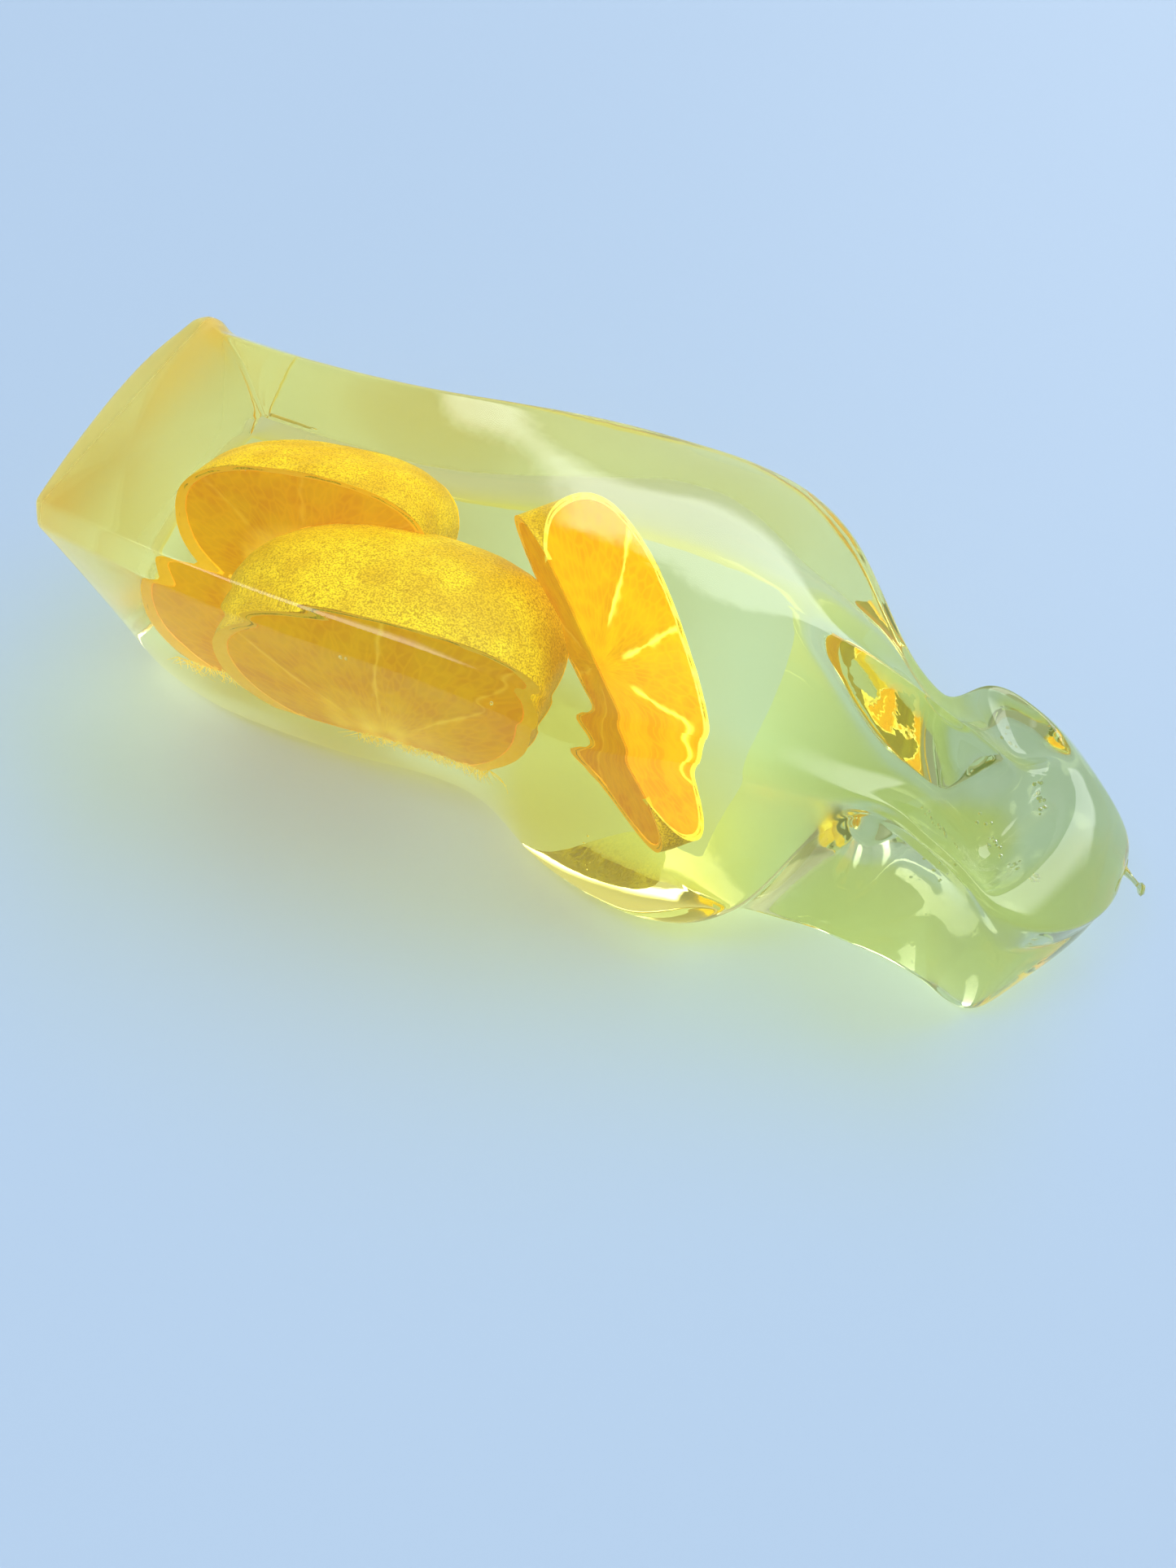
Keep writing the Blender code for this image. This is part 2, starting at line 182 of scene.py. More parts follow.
# The wedges. Each one has two cut faces, in the form of a D, that meet at its spine. middle is the spine's middle
# and along its direction; faces are the directions in which the two cut faces go from it. half_length and depth
# size the D of the first cut face. second_depth is the second one's depth as a share of the first's, and taper
# the share by which both are shallower at the spine's far end and deeper at its near end. membranes are their
# bearings, in degrees from the far end, membrane_start is the share of the way out where they begin to show and
# membrane_show how clearly they do. yellow_core is how yellow the flesh is at the spine. pith is its thickness
# round the rim, and tip_pith what is added at the far and at the near end of the spine.
WEDGES = {
    "front": dict(
        middle=(-31.1, 2.3, 10.8), along=(0.984, 0.175, 0.033),
        faces=((-0.034, 0.001, 0.999), (-0.171, 0.882, 0.439)),
        half_length=22.8, depth=21.1, second_depth=1.0, taper=0.0, pith=0.3, tip_pith=(2.0, 3.8),
        membranes=(38, 84, 138), membrane_start=0.2, membrane_show=0.2, yellow_core=0.4,
    ),
    "middle": dict(
        middle=(-4.0, 10.6, 26.6), along=(0.728, -0.565, -0.388),
        faces=((0.227, 0.733, -0.641), (-0.316, 0.226, -0.921)),
        half_length=22.8, depth=21.0, second_depth=0.62, taper=0.22, pith=0.4, tip_pith=(0.2, 0.4),
        membranes=(52, 92, 126), membrane_start=0.28, membrane_show=1.0, yellow_core=0.0,
    ),
    "back": dict(
        middle=(-49.5, 11.7, 7.9), along=(0.977, 0.169, 0.128),
        faces=((-0.182, 0.359, 0.915), (-0.185, 0.975, 0.126)),
        half_length=19.2, depth=21.8, second_depth=1.0, taper=0.0, pith=0.4, tip_pith=(1.5, 2.2),
        membranes=(42, 88, 130), membrane_start=0.5, membrane_show=0.1, yellow_core=0.9,
    ),
}

# The D of a cut face: how square its corners are, and where its middle is as a share of its depth.
D_SQUARENESS = 2.3
D_CENTRE = 0.43

# The wedges' surfaces: the rind's thickness, and its broad dents and fine pimples (how high, over what length);
# how pale a second cut face's pith and membranes are; how high the segments stand, and how wide the membranes
# and the grooves they lie in are.
RIND = 0.7
PEEL_DENTS = (0.20, 7.0)
PEEL_PIMPLES = (0.06, 1.6)
SECOND_FACE_PALE = 0.15
SEGMENT_BULGE = 0.45
MEMBRANE_WIDTH = 0.38
GROOVE_WIDTH = 1.3

# The pith: the bearing, in radians, over which what is added at a tip fades; how far it covers the rind's cut
# edge; and how far it goes under the flesh, as a share of its width.
TIP_PITH_REACH = 0.5
PITH_COVER = 0.04
PITH_UNDER = 0.12

# How finely the wedges are cut: points round the rim and points across. A fibre has rings and sides, and at
# its root a radius between these two.
PEEL_GRID = (150, 40)
PITH_GRID = (220, 12)
FLESH_GRID = (300, 64)
FIBRE_RINGS = 6
FIBRE_SIDES = 4
FIBRE_RADIUS = (0.07, 0.14)

# Torn fibres along the spines: how many, from where to where along it, and how long.
FRINGES = {
    "front": dict(count=240, start=-4.0, end=18.0, length=3.4),
    "back": dict(count=160, start=-17.0, end=4.0, length=3.4),
}

# Small bubbles of air, along lines from one place to another: how many, how far off the line, and the biggest
# one's radius. BUBBLE_GRID is the rings and sides of one, and BUBBLE_POLE how far in radians its first ring is
# from its pole.
BUBBLE_TRAILS = [
    ((44.8, 33.6, 15.6), (47.9, 31.2, 15.0), 8, 0.7, 0.32),
    ((51.2, 26.2, 18.0), (54.0, 21.0, 19.4), 14, 0.8, 0.36),
    ((38.8, 13.7, 21.3), (47.0, 11.6, 15.4), 16, 0.7, 0.32),
    ((45.6, 19.2, 16.3), (50.6, 16.6, 15.0), 10, 0.8, 0.32),
    ((50.6, 15.4, 16.4), (56.0, 9.4, 20.9), 14, 0.8, 0.36),
    ((-34.1, -3.2, 31.8), (-28.4, -2.8, 31.8), 2, 0.1, 0.30),
    ((-12.3, -1.2, 32.2), (-12.0, -1.2, 32.0), 1, 0.1, 0.30),
    ((2.2, -5.0, 16.3), (3.4, -6.4, 9.2), 6, 0.5, 0.16),
]
BUBBLE_GRID = (7, 12)
BUBBLE_POLE = 0.12

# Where two faces meet at more than this angle, their edge stays sharp.
SHARP_ANGLE = math.radians(50)

# Colours of the gel: at its square end, towards the other end, where it is wrung, and in the front lobe. They are
# painted light: the yellow towards the square end and the back is painted warm light, the wrung colour is darker,
# painted shade, and the lobe's yellow is a painted reflection of the wedges.
# GEL_DEPTH is what deep gel turns light to, and GEL_DENSITY how soon it does, per metre. GEL_SHADOW and
# FRUIT_SHADOW tint light at each surface of gel or fruit that it goes through on its way to the table.
# FOLD_FOOT is where, in metres in the part's frame, the wrung gel sticks to itself.
GEL_YELLOW = (1.0, 0.84, 0.42)
GEL_GREEN = (0.93, 0.99, 0.88)
GEL_WRUNG_SHADE = (0.60, 0.64, 0.42)
GEL_LOBE_REFLECTION = (0.95, 0.78, 0.16)
GEL_DEPTH = (0.88, 0.95, 0.12)
GEL_DENSITY = 5.5
GEL_SHADOW = (1.0, 0.93, 0.46)
FRUIT_SHADOW = (0.92, 0.82, 0.35)
FOLD_FOOT = (0.0313, -0.0161, 0.0275)

# The table, in metres. Soft gel lies flat on it, so its level is a hair above the bar's underside.
FLOOR_SIDE = 3.0
FLOOR_LEVEL = 0.00003
FLOOR_BLUES = ((0.36, 0.48, 0.64), (0.38, 0.50, 0.66))

# The room: its colour and how bright it is; how bright the window behind the bar is, and the lamp whose small
# glint lies on the bar; the way to that lamp, and to the part of the ceiling that is dim.
ROOM_COLOUR = (0.93, 0.97, 1.0)
ROOM_LIGHT = 0.80
WINDOW_LIGHT = 5.6
GLINT_LIGHT = 6.0
GLINT_WAY = (-0.40, -0.19, 0.90)
DIM_CEILING = (-0.35, 0.48, 0.80)


def curve_values(xs, values):
    """One smooth curve through the values, sampled along GRID."""
    xs, values = np.array(xs, float), np.array(values, float)
    slopes = np.gradient(values, xs)
    k = np.clip(np.searchsorted(xs, GRID) - 1, 0, len(xs) - 2)
    span = xs[k + 1] - xs[k]
    t = np.clip((GRID - xs[k]) / span, 0, 1)
    start = values[k] * (1 + 2 * t) * (1 - t) ** 2 + slopes[k] * span * t * (1 - t) ** 2
    end = values[k + 1] * (3 - 2 * t) * t**2 - slopes[k + 1] * span * (1 - t) * t**2
    reach = np.arange(-4 * CURVE_SOFTNESS, 4 * CURVE_SOFTNESS + GRID_STEP / 2, GRID_STEP)
    weights = np.exp(-0.5 * (reach / CURVE_SOFTNESS) ** 2)
    padded = np.pad(start + end, len(reach) // 2, mode="edge")
    return np.convolve(padded, weights / weights.sum(), mode="valid")


def curve(points, column):
    """A function of x that follows one column of the points."""
    table = np.array(points, float)
    values = curve_values(table[:, 0], table[:, column])
    return lambda x: np.interp(x, GRID, values)


NAMES = list(EDGES)
EDGE_Y = {name: curve(EDGES[name], 1) for name in NAMES}
EDGE_Z = {name: curve(EDGES[name], 2) for name in NAMES}
BEVEL = {name: curve(BEVELS[name], 1) for name in BEVELS}
RADIUS = {name: curve(RADII[name], 1) for name in NAMES}
BULGE = {name: curve(BULGES[name], 1) for name in NAMES}

# The corners of a section, in order: the edge that each belongs to, and on which side of its bevel it is.
CORNERS = [(name, side) for name in NAMES for side in ((-1, 1) if name in BEVELS else (0,))]


def corners_at(x):
    """The corners of the section at x, in y and z."""
    edges = {name: np.array([EDGE_Y[name](x), EDGE_Z[name](x)]) for name in NAMES}
    corners = []
    for name, side in CORNERS:
        corner = edges[name]
        if side:
            way = edges[NAMES[(NAMES.index(name) + side) % len(NAMES)]] - corner
            corner = corner + way / np.linalg.norm(way) * BEVEL[name](x)
        corners.append(corner)
    return np.array(corners)


def bulge_at(x, face):
    """How far the faces stand out at x; a bevel, which runs on from its first corner, is flat."""
    values = [np.zeros_like(x) if side < 0 else BULGE[name](x) for name, side in CORNERS]
    return np.choose(face, values)


def section(x, u):
    """A closed outline at x, with rounded corners: a point for each u, whose whole numbers are corners."""
    corners = corners_at(x)
    steps = np.roll(corners, -1, axis=0) - corners
    lengths = np.linalg.norm(steps, axis=1)
    starts = np.cumsum(lengths) - lengths
    outward = np.stack([steps[:, 1], -steps[:, 0]], axis=-1) / lengths[:, None]
    most = CORNER_SHARE * np.minimum(lengths, np.roll(lengths, 1))
    radii = np.minimum([RADIUS[name](x) for name, side in CORNERS], most)
    face = np.floor(u).astype(int)
    share = u % 1.0
    blend = share * share * (3 - 2 * share)
    radius = radii[face] * (1 - blend) + radii[(face + 1) % len(CORNERS)] * blend
    offsets = np.linspace(-ROUNDING_REACH, ROUNDING_REACH, ROUNDING_SAMPLES)
    weights = np.exp(-offsets**2)
    weights /= weights.sum()
    around = starts[face] + share * lengths[face]
    around = (around[:, None] + radius[:, None] * offsets[None, :]) % lengths.sum()
    face = np.searchsorted(starts, around, side="right") - 1
    share = ((around - starts[face]) / lengths[face])[..., None]
    flat = corners[face] + share * steps[face]
    bowed = x + RIM_BOW * (flat[..., 0] - RIM_MIDDLE_Y) ** 2 * np.clip((x - RIM_BOW_X) / RIM_BOW_X, 0, 1)
    points = flat + outward[face] * bulge_at(bowed, face)[..., None] * 4 * share * (1 - share)
    return (points * weights[None, :, None]).sum(axis=1)


def round_positions(fineness):
    """Positions round the section, closer together near the corners."""
    positions = []
    for k, (name, side) in enumerate(CORNERS):
        count = (POINTS_PER_BEVEL if side < 0 else POINTS_PER_FACE) * fineness
        positions.append(k + (1 - np.cos(np.pi * np.arange(count) / count)) / 2)
    return np.concatenate(positions)


def square_end(u, cap_rings):
    """Rings of the square end, from its middle out over its rounded rim."""
    first = section(SQUARE_END_X, u)
    middle = (first.min(axis=0) + first.max(axis=0)) / 2
    rings = []
    for share in np.linspace(0.15, 0.93, cap_rings):
        rings.append((SQUARE_END_X - END_BULGE * (1 - share**2), middle + (first - middle) * share))
    for angle in (0, np.pi / 6, np.pi / 3):
        share = 1 - END_ROUND * (1 - np.sin(angle)) / (WIDTH / 2)
        rings.append((SQUARE_END_X + END_ROUND * (1 - np.cos(angle)), middle + (first - middle) * share))
    return rings, (SQUARE_END_X - END_BULGE, middle[0], middle[1])


def dome(u, dome_rings):
    """Rings of the rounded end, which close towards its middle, and those of the thread beyond it."""
    rings = []
    for angle in np.linspace(0, np.pi / 2, dome_rings + 2)[1:-1]:
        x = DOME_START_X + DOME_LENGTH * np.sin(angle)
        if x > RING_STEPS[-1][0]:
            rings.append((x, closed_section(x, u)))
    centre = np.array(DOME_MIDDLE)
    circle = section(DOME_START_X, u) - centre
    circle /= np.linalg.norm(circle, axis=1, keepdims=True)
    tip_x = DOME_START_X + DOME_LENGTH
    for share, radius in THREAD_PROFILE:
        off = centre + share * np.array(THREAD[1:])
        rings.append((tip_x + share * THREAD[0], off + circle * radius))
    return rings, (tip_x + THREAD[0], *(centre + np.array(THREAD[1:])))


def closed_section(x, u):
    """The section at x, drawn in towards the dome's middle: not before the dome, and wholly at its tip."""
    along = np.clip((x - DOME_START_X) / DOME_LENGTH, 0, 1)
    middle = np.array(DOME_MIDDLE)
    return middle + (section(x, u) - middle) * (1 - along**2) ** DOME_ROUNDNESS


def rings_of(fineness):
    """All the section outlines as (ring, point, xyz), from the square end's middle to the thread's end."""
    u = round_positions(fineness)
    rings, heel = square_end(u, CAP_RINGS * fineness)
    start = SQUARE_END_X + END_ROUND
    for end, step in RING_STEPS:
        for x in np.arange(start, end - step / 4 / fineness, step / fineness):
            rings.append((x, closed_section(x, u)))
        start = end
    rings.append((start, closed_section(start, u)))
    last, tip = dome(u, DOME_RINGS * fineness)
    full = np.array([np.column_stack([np.full(len(u), x), flat]) for x, flat in rings + last])
    return full, np.array(heel), np.array(tip)


def crowned(points):
    """The points near the square end, moved out so that its edges bow."""
    fade = np.clip(1 - (points[..., 0] - SQUARE_END_X) / CROWN_REACH, 0, 1) ** 2
    across = np.clip((points[..., 1] - MIDDLE_Y) / (WIDTH / 2), -1, 1)
    near_end = np.clip(1 - (points[..., 0] - SQUARE_END_X) / TUCK_REACH, 0, 1) ** 1.5
    tuck = near_end * np.clip(-across, 0, 1) ** 3
    points[..., 0] -= END_CROWN * (1 - across**2) * (1 + END_SKEW * across) * fade
    points[..., 0] += END_LEAN * (1 - points[..., 2] / HEIGHT) * fade
    points[..., 1] += FRONT_TUCK * tuck * (1 - (points[..., 2] / HEIGHT) ** 3)


def lumped(points):
    """The points of the top back edge near the square end, raised into the mould's lump."""
    x, length, height = LUMP
    off_edge = (points[..., 1] - BACK_Y + LUMP_INSET) ** 2 + (points[..., 2] - HEIGHT + LUMP_INSET) ** 2
    near = np.exp(-(((points[..., 0] - x) / length) ** 4) - off_edge / LUMP_RADIUS**2)
    points[..., 1] += height * near
    points[..., 2] += height * 0.4 * near


def gel_surface(fineness):
    """The closed loft: quads between rings and a fan at each end."""
    rings, heel, tip = rings_of(fineness)
    n_rings, n_points, _ = rings.shape
    points = np.vstack([rings.reshape(-1, 3), heel, tip])
    points[:, 2] = np.maximum(points[:, 2], 0)
    crowned(points)
    lumped(points)
    faces = []
    for i in range(n_rings - 1):
        for j in range(n_points):
            k = (j + 1) % n_points
            here, after = i * n_points, (i + 1) * n_points
            faces.append((here + j, here + k, after + k, after + j))
    heel_index, tip_index = n_rings * n_points, n_rings * n_points + 1
    last = (n_rings - 1) * n_points
    for j in range(n_points):
        k = (j + 1) % n_points
        faces.append((heel_index, k, j))
        faces.append((tip_index, last + j, last + k))
    return points, faces


class Wedge:
    """One wedge of fruit. A place on it is a bearing (radians from the spine's far end), a reach and a turn.

    The bearing and the reach (millimetres from the spine's middle) lie in a half-round slice through the
    spine, and the turn, from 0 to 1, says which slice: 0 and 1 are the cut faces.
    """

    def __init__(self, middle, along, faces, half_length, depth, second_depth, taper, membranes, membrane_start,
                 membrane_show, yellow_core, pith, tip_pith):
        self.middle = np.array(middle, float)
        self.along = np.array(along, float) / np.linalg.norm(along)
        self.faces = []
        for face in faces:
            flat = np.array(face, float) - np.dot(face, self.along) * self.along
            self.faces.append(flat / np.linalg.norm(flat))
        self.opening = math.acos(np.dot(self.faces[0], self.faces[1]))
        self.half_length = half_length
        self.depth = depth
        self.second_depth = second_depth
        self.taper = taper
        self.membranes = np.radians(membranes)
        self.membrane_start = membrane_start
        self.membrane_show = membrane_show
        self.yellow_core = yellow_core
        self.pith = pith
        self.tip_pith = tip_pith

    def rim(self, bearing, turn):
        """How far the peel is from the middle: a D whose straight side is the spine, found by halving."""
        depth = self.depth * (1 + (self.second_depth - 1) * turn) * (1 - self.taper * np.cos(bearing))
        low, high = np.zeros_like(bearing), np.full_like(bearing, 2 * self.half_length)
        for _ in range(40):
            reach = (low + high) / 2
            past = (np.abs(reach * np.cos(bearing) / self.half_length) ** D_SQUARENESS
                    + np.abs((reach * np.sin(bearing) / depth - D_CENTRE) / (1 - D_CENTRE)) ** D_SQUARENESS) > 1
            low, high = np.where(past, low, reach), np.where(past, reach, high)
        return low

    def flesh_rim(self, bearing, turn):
        """How far the flesh goes: the pith and the rind lie outside it."""
        far, near = self.tip_pith
        at_far = np.exp(-((bearing / TIP_PITH_REACH) ** 2))
        at_near = np.exp(-(((math.pi - bearing) / TIP_PITH_REACH) ** 2))
        return self.rim(bearing, turn) - RIND - (self.pith + far * at_far + near * at_near)

    def out(self, turn):
        """The direction in which the slice at this turn goes from the spine."""
        turn = np.asarray(turn, float)[..., None]
        first, second = self.faces
        mixed = np.sin((1 - turn) * self.opening) * first + np.sin(turn * self.opening) * second
        return mixed / math.sin(self.opening)

    def place(self, bearing, reach, turn):
        """The point at this bearing, reach and turn."""
        bearing, reach = np.asarray(bearing, float)[..., None], np.asarray(reach, float)[..., None]
        return self.middle + reach * (np.cos(bearing) * self.along + np.sin(bearing) * self.out(turn))

    def face_normal(self, face):
        """Straight out of a cut face."""
        normal = np.cross(self.along, self.faces[face])
        return normal if np.dot(normal, self.faces[1 - face]) < 0 else -normal


def sheet_faces(rows, columns, start=0):
    """Quads of a grid of points, row by row."""
    i, j = np.meshgrid(np.arange(rows - 1), np.arange(columns - 1), indexing="ij")
    a = (start + i * columns + j).ravel()
    return np.column_stack([a, a + 1, a + columns + 1, a + columns]).tolist()


def ripple(points, seed, size):
    """A smooth uneven value, about -1 to 1, at each point: a few waves in random directions."""
    rng = np.random.default_rng(seed)
    total = np.zeros(points.shape[:-1])
    for _ in range(7):
        wave = rng.normal(size=3) * 2.2 / size
        total += np.sin(points @ wave + rng.uniform(0, 2 * np.pi))
    return total / 3.5


def peel_shell(wedge, seed):
    """The rind: an outer skin with a slightly uneven surface, an inner skin, and the cut edges between them."""
    rows, columns = PEEL_GRID
    b, t = np.meshgrid(np.linspace(0, math.pi, rows), np.linspace(0, 1, columns), indexing="ij")
    rim = wedge.rim(b, t)
    flat = wedge.place(b, rim, t)
    dent, dent_size = PEEL_DENTS
    pimple, pimple_size = PEEL_PIMPLES
    uneven = (dent * ripple(flat, seed, dent_size) + pimple * ripple(flat, seed + 1, pimple_size)) * np.sin(b)
    outer = wedge.place(b, rim + uneven, t)
    inner = wedge.place(b, rim - RIND, t)
    points = np.vstack([outer.reshape(-1, 3), inner.reshape(-1, 3)])
    n = rows * columns
    faces = sheet_faces(rows, columns)
    faces += [face[::-1] for face in sheet_faces(rows, columns, n)]
    for i in range(rows - 1):
        a, z = i * columns, i * columns + columns - 1
        faces.append((a, a + columns, a + columns + n, a + n))
        faces.append((z + columns, z, z + n, z + columns + n))
    return points, faces, {}


def pith_rings(wedge, seed):
    """The ring round the flesh on both cut faces, out over the rind's cut edge, with a soft uneven surface.

    It starts under the flesh's rim, comes up beside it and ends a little above the rind's edge.
    """
    rows, columns = PITH_GRID
    bearing = np.linspace(0, math.pi, rows)
    share = np.linspace(-PITH_UNDER, 1, columns)
    points, faces = [], []
    for face in (0, 1):
        b, s = np.meshgrid(bearing, share, indexing="ij")
        flesh, rind = wedge.flesh_rim(b, face), wedge.rim(b, face) + PITH_COVER
        flat = wedge.place(b, flesh + (rind - flesh) * s, np.full_like(b, float(face)))
        sunk = 0.10 * (1 - s) - 0.05 + 0.07 * ripple(flat, seed + face, 1.8) * (1 - s) + 0.5 * (s < 0)
        points.append((flat - wedge.face_normal(face) * sunk[..., None]).reshape(-1, 3))
        grid = sheet_faces(rows, columns, face * b.size)
        faces += grid if face else [quad[::-1] for quad in grid]
    points = np.vstack(points)
    pale = np.repeat([wedge.membrane_show, SECOND_FACE_PALE], len(points) // 2)
    return points, faces, {"pale": pale}


def fringe(wedge, seed, count, start, end, length):
    """Fine torn fibres that hang from the spine, between two places along it in millimetres."""
    rng = np.random.default_rng(seed)
    points, faces = [], []
    sides = np.linspace(0, 2 * np.pi, FIBRE_SIDES, endpoint=False)
    for _ in range(count):
        turn = rng.uniform(0, 1)
        root = wedge.middle + wedge.along * rng.uniform(start, end) + wedge.out(turn) * 0.6
        way = -wedge.out(turn) * rng.uniform(0.4, 1) * length + wedge.along * rng.normal() * length * 0.5
        bend = np.cross(way, rng.normal(size=3)) * 0.3
        first = np.cross(way, (0, 0, 1)) / np.linalg.norm(np.cross(way, (0, 0, 1)))
        second = np.cross(way, first) / np.linalg.norm(way)
        foot = len(points)
        for share in np.linspace(0, 1, FIBRE_RINGS):
            middle = root + way * share + bend * share * (1 - share)
            radius = rng.uniform(*FIBRE_RADIUS) * (1 - 0.7 * share)
            points.extend(middle + radius * (np.cos(a) * first + np.sin(a) * second) for a in sides)
        for i in range(FIBRE_RINGS - 1):
            here, after = foot + FIBRE_SIDES * i, foot + FIBRE_SIDES * (i + 1)
            for j in range(FIBRE_SIDES):
                k = (j + 1) % FIBRE_SIDES
                faces.append((here + j, here + k, after + k, after + j))
    return np.array(points), faces, {"pale": np.full(len(points), 1.0)}


def cut_flesh(wedge, seed):
    """The flesh on both cut faces: low cushions between grooves, where the membranes show pale.

    Each point also gets its grain (how far round, how far out) and how pale it is.
    """
    rows, columns = FLESH_GRID
    bearing = np.linspace(0, math.pi, rows)
    share = np.linspace(0, 1, columns) ** 0.8
    points, faces, grain, pale = [], [], [], []
    for face in (0, 1):
        b, s = np.meshgrid(bearing, share, indexing="ij")
        rim = wedge.flesh_rim(b, face)
        reach = rim * s
        flat = wedge.place(b, reach, np.full_like(b, float(face)))
        # How far a point is from the nearest membrane, whose line wanders a little.
        wander = 0.35 * ripple(flat, seed + 3 * face, 4.0)
        aside = np.min([np.abs(reach * np.sin(b - at) + wander * s) + 50 * (np.cos(b - at) < 0)
                        for at in wedge.membranes], axis=0)
        begun = np.clip((s - wedge.membrane_start) / 0.08, 0, 1)
        uneven = 0.75 + 0.45 * ripple(flat, seed + 5 + face, 1.5)
        show = SECOND_FACE_PALE if face else wedge.membrane_show
        membrane = np.exp(-((aside / (MEMBRANE_WIDTH * uneven)) ** 2)) * begun * show
        # The segments stand up between the grooves, and sink towards the rim and the spine.
        cushion = (1 - np.exp(-((aside / GROOVE_WIDTH) ** 2))) * (1 - s**8) ** 0.5 * np.clip(6 * s, 0, 1)
        height = SEGMENT_BULGE * cushion * np.sin(b) ** 0.5 + 0.05 * ripple(flat, seed + 9, 1.2) * np.sin(b)
        points.append((flat + wedge.face_normal(face) * (height - 0.1)[..., None]).reshape(-1, 3))
        grid = sheet_faces(rows, columns, face * b.size)
        faces += grid if face else [quad[::-1] for quad in grid]
        core = wedge.yellow_core * np.clip(1.2 - 2.2 * s, 0, 1) * (0.7 + 0.3 * ripple(flat, seed + 11, 2.5))
        pale.append(np.maximum(membrane, core).ravel())
        grain.append(np.stack([b * 12, reach, np.full_like(b, seed * 7.0 + face)], axis=-1).reshape(-1, 3))
    return np.vstack(points), faces, {"grain": np.vstack(grain), "pale": np.concatenate(pale)}


def make_piece(name, shape, finish):
    """A mesh object from a shape in millimetres, moved to the part's frame, which rides with the bar.

    A shape is points, faces and marks: values at its points, by name, single numbers or vectors.
    """
    points, faces, marks = shape
    mesh = bpy.data.meshes.new(name)
    mesh.from_pydata(((points - FRAME_MIDDLE) * MM).tolist(), [], faces)
    for mark, values in marks.items():
        kind, slot_name = ("FLOAT_VECTOR", "vector") if values.ndim == 2 else ("FLOAT", "value")
        mesh.attributes.new(mark, kind, "POINT").data.foreach_set(slot_name, values.ravel())
    mesh.validate()
    mesh.shade_smooth()
    mesh.set_sharp_from_angle(angle=SHARP_ANGLE)
    mesh.materials.append(finish)
    piece = bpy.data.objects.new(name, mesh)
    bpy.context.scene.collection.objects.link(piece)
    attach(piece, "root")
    return piece


class Value:
    """What a node gives, such as a number or a colour. Arithmetic on it adds the nodes that work it out."""

    def __init__(self, nodes, socket):
        self.nodes = nodes
        self.socket = socket

    def math(self, operation, *others):
        """What a Math node makes of this value and the others."""
        values = dict(enumerate([self, *others]))
        return self.nodes.node("ShaderNodeMath", {"operation": operation}, values)

    def __add__(self, other):
        return self.math("ADD", other)

    __radd__ = __add__

    def __mul__(self, other):
        return self.math("MULTIPLY", other)

    __rmul__ = __mul__

    def __sub__(self, other):
        return self.math("SUBTRACT", other)

    def __rsub__(self, other):
        return self * -1 + other

    def __truediv__(self, other):
        return self.math("DIVIDE", other)

    def fade(self, low, high):
        """0 below low, 1 above high, and smooth between."""
        return self.nodes.node("ShaderNodeMapRange", {"interpolation_type": "SMOOTHSTEP"},
                                {"Value": self, "From Min": low, "From Max": high})

    def blend(self, low, high):
        """The colour low where this is 0 and high where it is 1."""
        return self.nodes.node("ShaderNodeMix", {"data_type": "RGBA"}, {0: self, 6: low, 7: high}, 2)


class Nodes:
    """A node tree, built node by node."""

    def __init__(self, tree):
        self.tree = tree

    def node(self, kind, settings, sockets, output=0):
        """A node of this kind: its settings first, then the values or links of its sockets."""
        made = self.tree.nodes.new(kind)
        for name, value in settings.items():
            setattr(made, name, value)
        self.fill(made, sockets)
        return Value(self, made.outputs[output])

    def fill(self, made, sockets):
        """Links each socket to its Value, or sets it to its number or colour."""
        for name, value in sockets.items():
            if isinstance(value, Value):
                self.tree.links.new(value.socket, made.inputs[name])
            elif isinstance(value, tuple) and len(value) == 3 and made.inputs[name].type == "RGBA":
                made.inputs[name].default_value = (*value, 1)
            else:
                made.inputs[name].default_value = value


class Finish(Nodes):
    """One material. Its glow isn't sampled as a lamp, which keeps the render short.

    Lengths are metres in the part's frame, and scales are cells to a metre.
    """

    def __init__(self, name):
        self.material = bpy.data.materials.new(name)
        self.material.use_nodes = True
        self.material.cycles.emission_sampling = "NONE"
        super().__init__(self.material.node_tree)
        self.shader = self.tree.nodes["Principled BSDF"]

    def surface(self, **sockets):
        """Sets or links the shader's own sockets, where base_color means Base Color."""
        self.fill(self.shader, {name.replace("_", " ").title().replace("Ior", "IOR"): value
                                for name, value in sockets.items()})

    def shadow(self, tint):
        """Lets light pass, tinted, where the surface only stands between a light and what it lights."""
        through = self.node("ShaderNodeBsdfTransparent", {}, {"Color": tint})
        only_shadow = self.node("ShaderNodeLightPath", {}, {}, "Is Shadow Ray")
        seen = Value(self, self.shader.outputs["BSDF"])
        both = self.node("ShaderNodeMixShader", {}, {0: only_shadow, 1: seen, 2: through})
        self.fill(self.tree.nodes["Material Output"], {"Surface": both})

    def place(self):
        """Where on the object a point is, in metres."""
        return self.node("ShaderNodeTexCoord", {}, {}, "Object")

    def mark(self, name, output="Fac"):
        """A value that the mesh keeps at its points."""
        return self.node("ShaderNodeAttribute", {"attribute_name": name}, {}, output)

    def noise(self, where, scale, detail=2.0):
        return self.node("ShaderNodeTexNoise", {}, {"Vector": where, "Scale": scale, "Detail": detail})

    def cells(self, where, scale, feature="F1"):
        return self.node("ShaderNodeTexVoronoi", {"feature": feature}, {"Vector": where, "Scale": scale})

    def stretched(self, where, by):
        return self.node("ShaderNodeVectorMath", {"operation": "MULTIPLY"}, {0: where, 1: by})

    def bump(self, height, strength, distance):
        return self.node("ShaderNodeBump", {}, {"Height": height, "Strength": strength, "Distance": distance})


